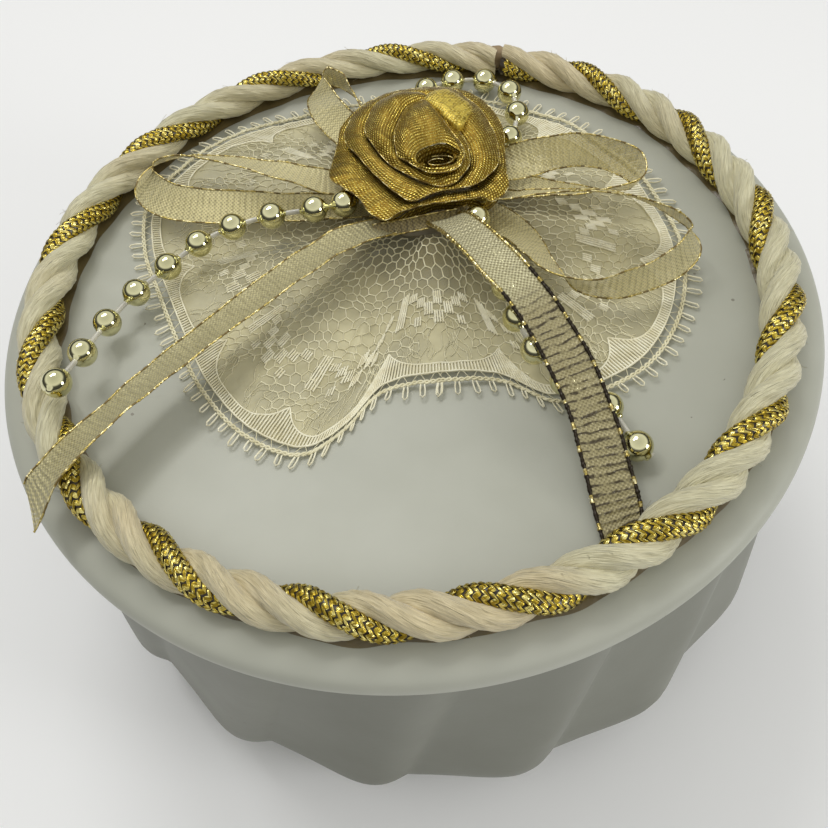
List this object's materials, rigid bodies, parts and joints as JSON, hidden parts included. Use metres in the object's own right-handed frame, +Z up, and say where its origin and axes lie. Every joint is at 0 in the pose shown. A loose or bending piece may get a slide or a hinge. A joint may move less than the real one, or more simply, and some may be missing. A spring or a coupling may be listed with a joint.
{
  "type": "vanity trinket box",
  "caption": "Round porcelain trinket box with a swirled base and a loose lid trimmed with twisted cord, gathered lace, a ribbon bow, bead strands and a ribbon rose.",
  "frame": {"origin": "centre of the flat foot, on the surface that the box stands on", "axes": "+Z up along the axis of the box; -Y is the front, towards which the two ribbon tails run"},
  "size_m": [0.091, 0.091, 0.0551],
  "materials": {
    "porcelain": "unglazed bisque, satin-matte",
    "cord_cream": "satin rayon yarn",
    "cord_gold": "metallic braid",
    "lace": "ivory lace",
    "ribbon": "sheer ribbed ribbon with metallic edges",
    "rose": "gold lurex satin",
    "beads": "champagne metallised, mirror bright",
    "glue": "hot-melt glue"
  },
  "bodies": {
    "base": {"box_base": "porcelain"},
    "lid": {"lid": "porcelain", "cord_gold": "cord_gold", "cord_cream_a": "cord_cream", "cord_cream_b": "cord_cream", "lace_ruffle": "lace", "glue_pad": "glue", "bow_knot": "ribbon", "bow_loop_left": "ribbon", "bow_loop_right": "ribbon", "bow_loop_back_right": "ribbon", "bow_loop_back": "ribbon", "bow_tail_left": "ribbon", "bow_tail_right": "ribbon", "bead_strand_left": "beads", "bead_strand_back": "beads", "bead_strand_right": "beads", "ribbon_rose": "rose"}
  },
  "joints": [
    {"name": "lid_lift", "type": "slide", "parent": "base", "child": "lid", "axis": [0, 0, 1], "range_m": [0, 0.06]}
  ]
}
